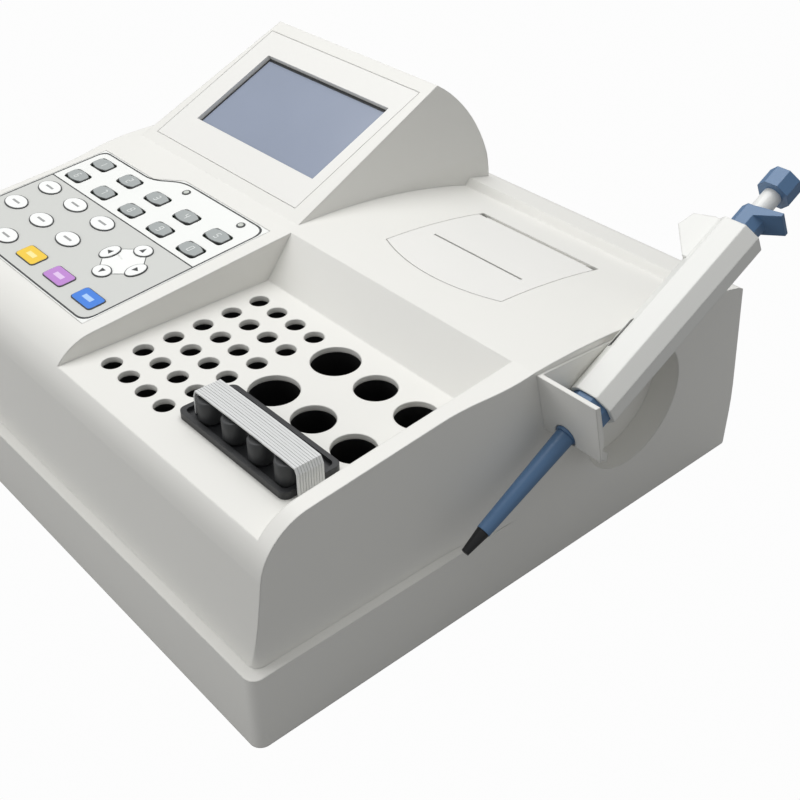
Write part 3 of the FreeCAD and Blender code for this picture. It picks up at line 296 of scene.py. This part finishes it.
# Display: the grey-blue window with a band of painted shade round its edge for the deep bezel's shadow,
# and the module behind it
slope = tilted(0.0, 0.0, 139.635, 24.8)
dress(plastic("window_blue", "8f98aa", rough=0.22, grain=0.05, pits=0.0, edge=0.1), "display_window")
dress(plastic("lcd_grey", "5a6270", rough=0.4), "lcd_module")
# The thin dark ring just above the window glass is painted shade: it stands in for the shadow the deep
# bezel casts on the window's edge.
painted_edge_shade = bmesh.new()
window_outer = [(-146.0, 30.6), (-27.4, 30.6), (-27.4, 94.6), (-146.0, 94.6)]
window_inner = [(-144.6, 31.6), (-28.2, 31.6), (-28.2, 92.6), (-144.6, 92.6)]
ring(painted_edge_shade, window_outer, window_inner, -2.98, -2.86)
add("window_edge_painted_shade", painted_edge_shade, slope, [plastic("painted_shade_dark", "2c2e31", rough=0.4)], "housing")

# Keypad film: a white rear zone and a grey front zone split by a dark line, with a dark border
panel = tilted(0.0, -156.937, 125.6, 5.4)
dress(plastic("film_white", "f0f1ee", rough=0.34, grain=0.008, pits=0.02, edge=0.2),
      "keypad_overlay")
film_grey = plastic("film_grey", "cfd0cc", rough=0.34, grain=0.01, pits=0.02, edge=0.1)
ink = plastic("ink_dark", "3a3c3c", rough=0.4, edge=0.05)


def border(inset):
    """The keypad's border, moved inwards, with rounded corners."""
    left, right, low = -170.6 + inset, -13.3 - inset, 24.8 + inset
    high_left, high_right = 131.7 - inset, 143.4 - inset
    jog_low, jog_high = -115.7 + inset * 0.6, -98.0 + inset * 0.6
    points = [(left, low, 5.0), (right, low, 8.0), (right, high_right, 9.0),
              (jog_high, high_right, 8.0), (jog_low, high_left, 8.0), (left, high_left, 6.0)]
    rounded = []
    for index, (x, y, radius) in enumerate(points):
        spot = Vector((x, y))
        before = (Vector(points[index - 1][:2]) - spot).normalized()
        after = (Vector(points[(index + 1) % 6][:2]) - spot).normalized()
        start, end = spot + before * radius, spot + after * radius
        for step in range(7):
            part = step / 6
            rounded.append(tuple(start * (1 - part) ** 2 + spot * 2 * part * (1 - part)
                                 + end * part ** 2))
    return rounded


film = bmesh.new()
ring(film, border(0.7), border(1.7), 0.02, 0.10)
slab(film, [(-169.6, 92.7), (-14.3, 92.7), (-14.3, 93.5), (-169.6, 93.5)], 0.02, 0.10)
add("keypad_lines", film, panel, [ink], "housing")

# Grey zone of the film: one thin sheet over the front zone, lying under the keys
key_x = [-154.6, -123.575, -92.55, -61.525, -30.5]
key_rows = [120.4, 102.5, 83.2, 60.8, 38.3]
zone = bmesh.new()
front_line = [p for p in border(1.75) if p[1] < 92.6]
edge_low = sorted(front_line, key=lambda p: p[0])
outer_loop = [p for p in border(1.75) if p[1] < 60.0]
zone_points = outer_loop + [(-15.05, 92.7), (-168.85, 92.7)]
slab(zone, zone_points, 0.015, 0.04)
zone_piece = add("keypad_grey_zone", zone, panel, [film_grey], "housing")

# Arrow plate: a white octagon between the four arrow keys, with a dark outline
plate = bmesh.new()
middle_x, middle_y = -48.5, 70.2
octagon = [(-12.6, -5.0), (-5.0, -11.6), (5.0, -11.6), (12.6, -5.0), (12.6, 5.0), (5.0, 11.6),
           (-5.0, 11.6), (-12.6, 5.0)]
slab(plate, [(middle_x + x * 1.04, middle_y + y * 1.04) for x, y in octagon], 0.05, 0.09)
slab(plate, [(middle_x + x, middle_y + y) for x, y in octagon], 0.09, 0.12, slot=1)
add("arrow_plate", plate, panel, [ink, plastic("plate_white", "f4f5f2", rough=0.35)], "housing")


def key(name, outline, inner, cap, marks, mark):
    """One key: a dark rim, a slightly crowned cap inside it and its printed mark."""
    mesh = bmesh.new()
    slab(mesh, outline, -1.0, 0.55, bevel=0.25, slot=0)
    slab(mesh, inner, 0.5, 0.78, bevel=0.2, slot=1)
    for shape in marks:
        slab(mesh, shape, 0.78, 0.80, slot=2)
    node = name
    add("cap_" + name, mesh, panel, [ink, cap, mark], node.replace("_", " "), [node])


def digit(text, x, y, height):
    """The strokes of a plain digit as thin bars, on a seven-bar grid."""
    on = {"0": "abcdef", "1": "bc", "2": "abged", "3": "abgcd", "4": "fgbc", "5": "afgcd",
          "6": "afgedc", "7": "abc", "8": "abcdefg", "9": "abcdfg"}[text]
    tall, wide, stroke = height / 2, height * 0.52, height * 0.13
    bars = {"a": (0, tall, wide, stroke), "g": (0, 0, wide, stroke), "d": (0, -tall, wide, stroke),
            "b": (wide / 2, tall / 2, stroke, tall), "c": (wide / 2, -tall / 2, stroke, tall),
            "f": (-wide / 2, tall / 2, stroke, tall), "e": (-wide / 2, -tall / 2, stroke, tall)}
    shapes = []
    for bar in on:
        bx, by, w, h = bars[bar]
        w, h = max(w, stroke) / 2, max(h, stroke) / 2
        shapes.append([(x + bx - w, y + by - h), (x + bx + w, y + by - h), (x + bx + w, y + by + h),
                       (x + bx - w, y + by + h)])
    return shapes


# Keys: grey number keys, white ovals, three coloured keys and four arrows
key_grey = plastic("key_grey", "a3a8a7", rough=0.4, grain=0.03, edge=0.3)
key_white = plastic("key_white", "f4f5f3", rough=0.35, grain=0.01, edge=0.3)
pale_ink = plastic("ink_pale", "d9dcda", rough=0.4)
grey_ink = plastic("ink_grey", "9c9d9c", rough=0.4)
for index in range(10):
    x, y = key_x[index % 5], key_rows[index // 5]
    number = str((index + 1) % 10)
    key(f"number_key_{number}", loop_of(17.0, 10.5, 1.6, 1.2, x, y),
        loop_of(15.9, 9.6, 1.5, 1.0, x, y), key_grey, digit(number, x, y, 4.4), pale_ink)
oval_places = [(column, row) for row in (2, 3) for column in range(3)] + [(0, 4), (1, 4)]
for index, (column, row) in enumerate(oval_places):
    x, y = key_x[column], key_rows[row]
    bar = [(x - 4.0, y - 0.7), (x + 4.0, y - 0.7), (x + 4.0, y + 0.7), (x - 4.0, y + 0.7)]
    key(f"function_key_{index + 1}", ellipse(20.0, 12.4, x, y), ellipse(18.6, 11.0, x, y),
        key_white, [bar], grey_ink)
for index, (name, tint, mark) in enumerate((("yellow", "f0c93f", "f8e79b"),
                                            ("purple", "bd86cf", "e0c3ea"),
                                            ("blue", "3f7fdc", "a9cbf5"))):
    x, y = key_x[index + 2], key_rows[4]
    bar = [(x - 4.2, y - 1.5), (x + 4.2, y - 1.5), (x + 4.2, y + 1.5), (x - 4.2, y + 1.5)]
    key(f"{name}_key", loop_of(20.0, 11.5, 0.0, 2.2, x, y), loop_of(19.0, 10.5, 0.0, 1.8, x, y),
        plastic(f"key_{name}", tint, rough=0.38, grain=0.03, edge=0.3), [bar],
        plastic(f"mark_{name}", mark, rough=0.4))
for name, across, along in (("left", -1, 0), ("right", 1, 0), ("up", 0, 1), ("down", 0, -1)):
    x, y = middle_x + 13.6 * across, middle_y + 13.2 * along
    wide, tall = (13.6, 10.4) if along else (10.4, 13.6)
    tip = [(2.3 * across - 1.5 * along, 2.3 * along - 1.5 * across),
           (-1.6 * across - 1.9 * along, -1.6 * along - 1.9 * across),
           (-1.6 * across + 1.9 * along, -1.6 * along + 1.9 * across)]
    tip[0] = (2.3 * across, 2.3 * along)
    key(f"arrow_{name}_key", ellipse(wide, tall, x, y), ellipse(wide - 1.3, tall - 1.3, x, y),
        key_white, [[(x + px, y + py) for px, py in tip]], ink)

# Status lights: small dark rings with a pale dome
lights = bmesh.new()
for x in (-85.65, -30.5):
    slab(lights, ellipse(5.4, 5.4, x, 136.2), 0.02, 0.35, bevel=0.15, slot=0)
    slab(lights, ellipse(3.4, 3.4, x, 136.2), 0.3, 0.62, bevel=0.25, slot=1)
add("light_rings", lights, panel, [ink, plastic("light_pale", "c9cdc6", rough=0.2)], "housing",
    ["status_leds"])

# Channels: black tray with rear tabs, four plain turned caps
black = plastic("channel_black", "232426", rough=0.42, grain=0.05, pits=0.08, edge=0.5)
dress(black, "channel_tray")
tabs = bmesh.new()
for low, high in ((89.0, 101.5), (104.6, 118.8), (126.0, 138.0)):
    slab(tabs, [(low, -100.4), (high, -100.4), (high - 1.2, -98.6), (low + 1.2, -98.6)], 116.6,
         119.6, bevel=0.3)
add("tray_tabs", tabs, Matrix.Scale(MM, 4), [black], "housing")
cap_black = plastic("cap_black", "3b3c3d", rough=0.5, grain=0.05, pits=0.1, edge=0.3)
for index, x in enumerate((86.6, 106.5, 126.4, 146.3)):
    cap = bmesh.new()
    lathe(cap, [(5.5, 118.2), (5.8, 119.4), (5.8, 130.0), (5.45, 130.6), (4.4, 130.6),
                (4.2, 130.35)])
    bmesh.ops.translate(cap, verts=cap.verts, vec=(x, -122.6, 0.0))
    add(f"cap_{index + 1}", cap, Matrix.Scale(MM, 4), [cap_black], "housing",
        [f"channel_cap_{index + 1}"])

# Cuvette strips: ten thin clear laths, bent down at both ends and slightly bowed
strip_clear = plastic("strip_clear", "d9dad9", rough=0.18, grain=0.03, pits=0.02, edge=0.15)
laths = bmesh.new()
for lath in range(10):
    front_y = -125.5 + 1.45 * lath
    back_y = front_y + 1.25
    lift = 0.5 * math.sin(lath * 1.9)
    outer, inner = [], []
    path = [(78.3, 118.6), (78.5, 128.5), (80.0, 131.9)]
    path += [(80.0 + 75.0 * s / 8, 132.0 + 0.5 * math.sin(math.pi * s / 8) + lift * 0.12)
             for s in range(1, 8)]
    path += [(155.6, 131.9), (157.0, 129.0), (157.1, 118.0 + lift)]
    for index, (x, z) in enumerate(path):
        here = Vector((x, z))
        before = Vector(path[max(index - 1, 0)])
        after = Vector(path[min(index + 1, len(path) - 1)])
        way = (after - before).normalized()
        side = Vector((-way.y, way.x)) * 0.45
        outer.append(here + side)
        inner.append(here - side)
    loop = outer + inner[::-1]
    near = [laths.verts.new((p.x, front_y, p.y)) for p in loop]
    far = [laths.verts.new((p.x, back_y, p.y)) for p in loop]
    count, half_count = len(loop), len(path)
    for i in range(count):
        laths.faces.new((near[i], near[(i + 1) % count], far[(i + 1) % count], far[i]))
    for i in range(half_count - 1):
        j = count - 1 - i
        laths.faces.new((near[i], near[j], near[j - 1], near[i + 1]))
        laths.faces.new((far[i], far[i + 1], far[j - 1], far[j]))
add("strip_laths", laths, Matrix.Scale(MM, 4), [strip_clear], "strips", ["cuvette_strips"])

# Pipette: blue shaft with a black nozzle, blue collar, white handle, blue ejector and knob
axis = tilted(195.1, 2.7, 107.2, -61.4)
blue = plastic("pipette_blue", "54759a", rough=0.36, grain=0.03, pits=0.03, edge=0.5)
dress(plastic("nozzle_black", "151618", rough=0.35), "pipette_nozzle")
dress(plastic("handle_white", "e6e6e2", rough=0.34, grain=0.01, pits=0.02, edge=1.2),
      "pipette_handle")
dress(blue, "pipette_shaft", "pipette_collar", "pipette_ejector")
dress(plastic("stem_white", "e9e9e6", rough=0.3), "pipette_stem")
dress(plastic("counter_dark", "2a2b2c", rough=0.25), "pipette_counter")
dress(blue, "pipette_knob")
